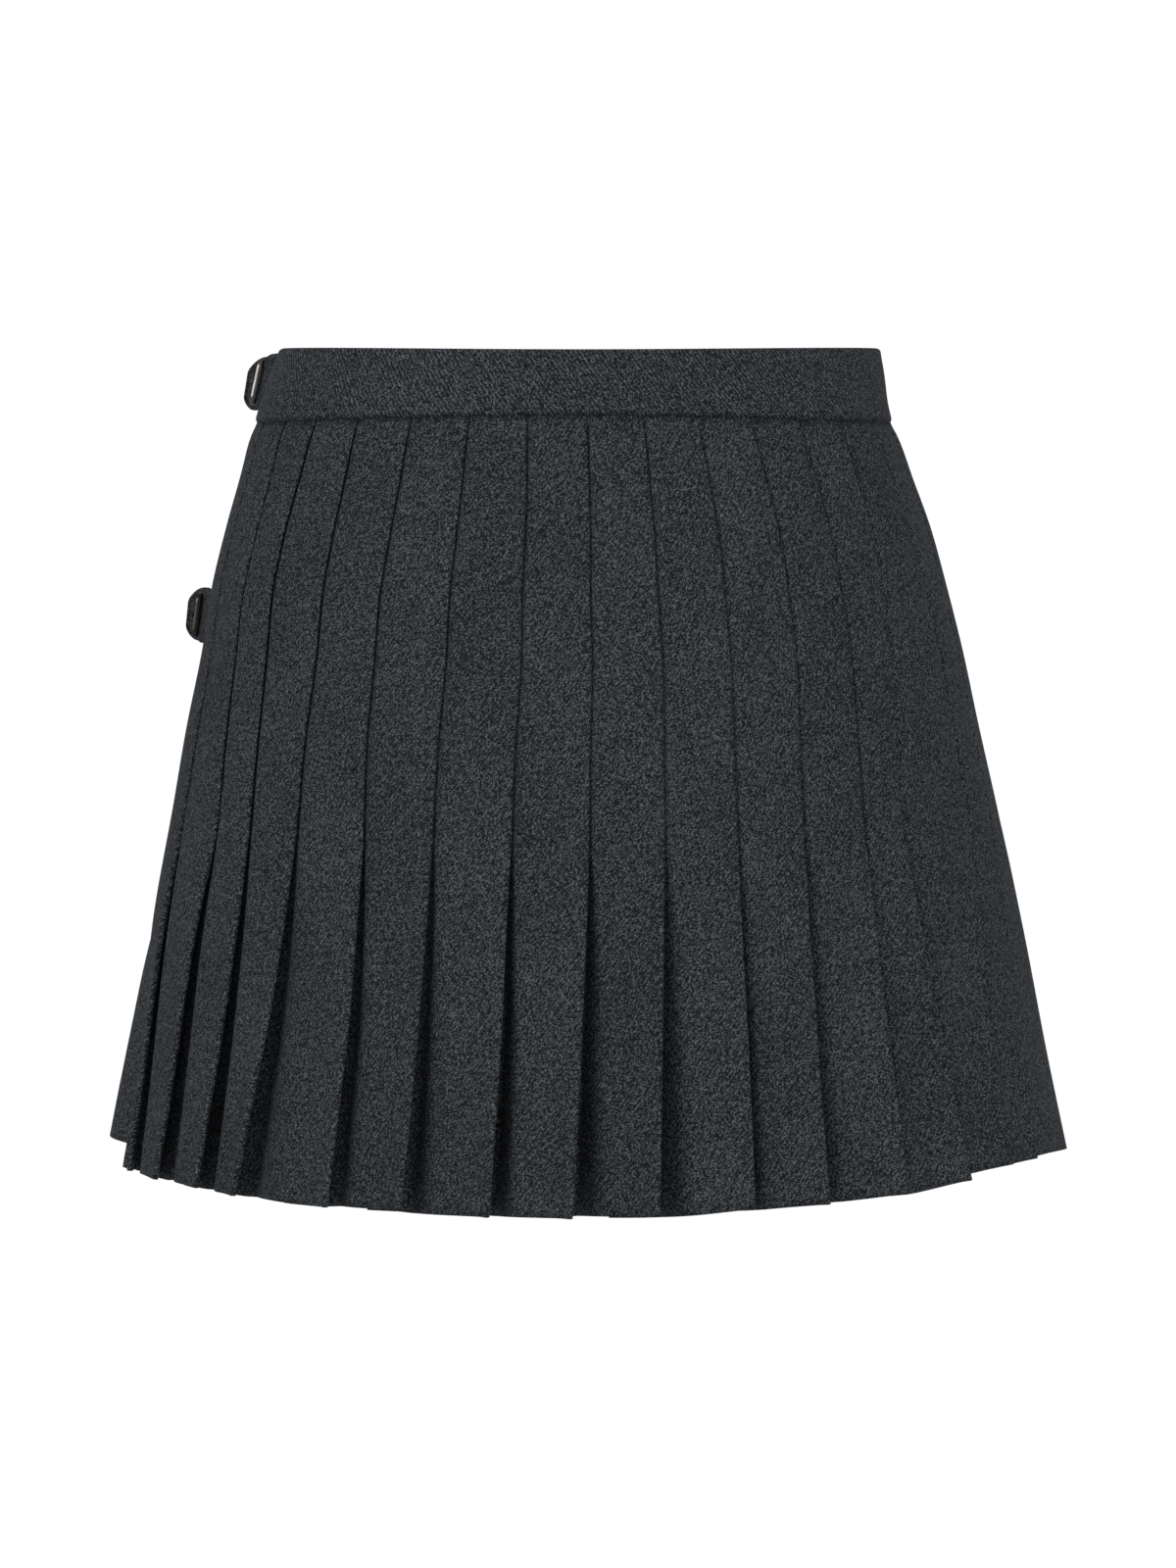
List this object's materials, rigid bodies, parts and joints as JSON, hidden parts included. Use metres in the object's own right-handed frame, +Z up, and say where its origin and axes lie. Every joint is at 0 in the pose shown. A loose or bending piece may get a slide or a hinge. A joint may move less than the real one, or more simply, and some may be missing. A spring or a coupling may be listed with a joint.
{
  "type": "pleated wrap mini skirt",
  "caption": "Knife-pleated wrap mini skirt in charcoal wool twill with a plain waistband, a flat front panel and cloth side straps with metal buckles.",
  "frame": {"origin": "the middle of the waist opening, level with the waistband's top edge, where the wearer holds the skirt up", "axes": "+Z up, -Y behind the wearer (the pleated back), +Y in front (the flat panel), +X to the wearer's right"},
  "size_m": [0.4275, 0.3018, 0.3604],
  "materials": {
    "wool": "matte brushed wool twill",
    "strap_wool": "matte brushed wool twill",
    "gunmetal": "satin"
  },
  "bodies": {
    "root": {"waistband": "wool", "pleated_back": "wool", "front_panel": "wool", "upper_strap": "strap_wool", "lower_strap": "strap_wool", "upper_buckle": "gunmetal", "lower_buckle": "gunmetal", "upper_pin": "gunmetal", "lower_pin": "gunmetal"}
  },
  "joints": []
}
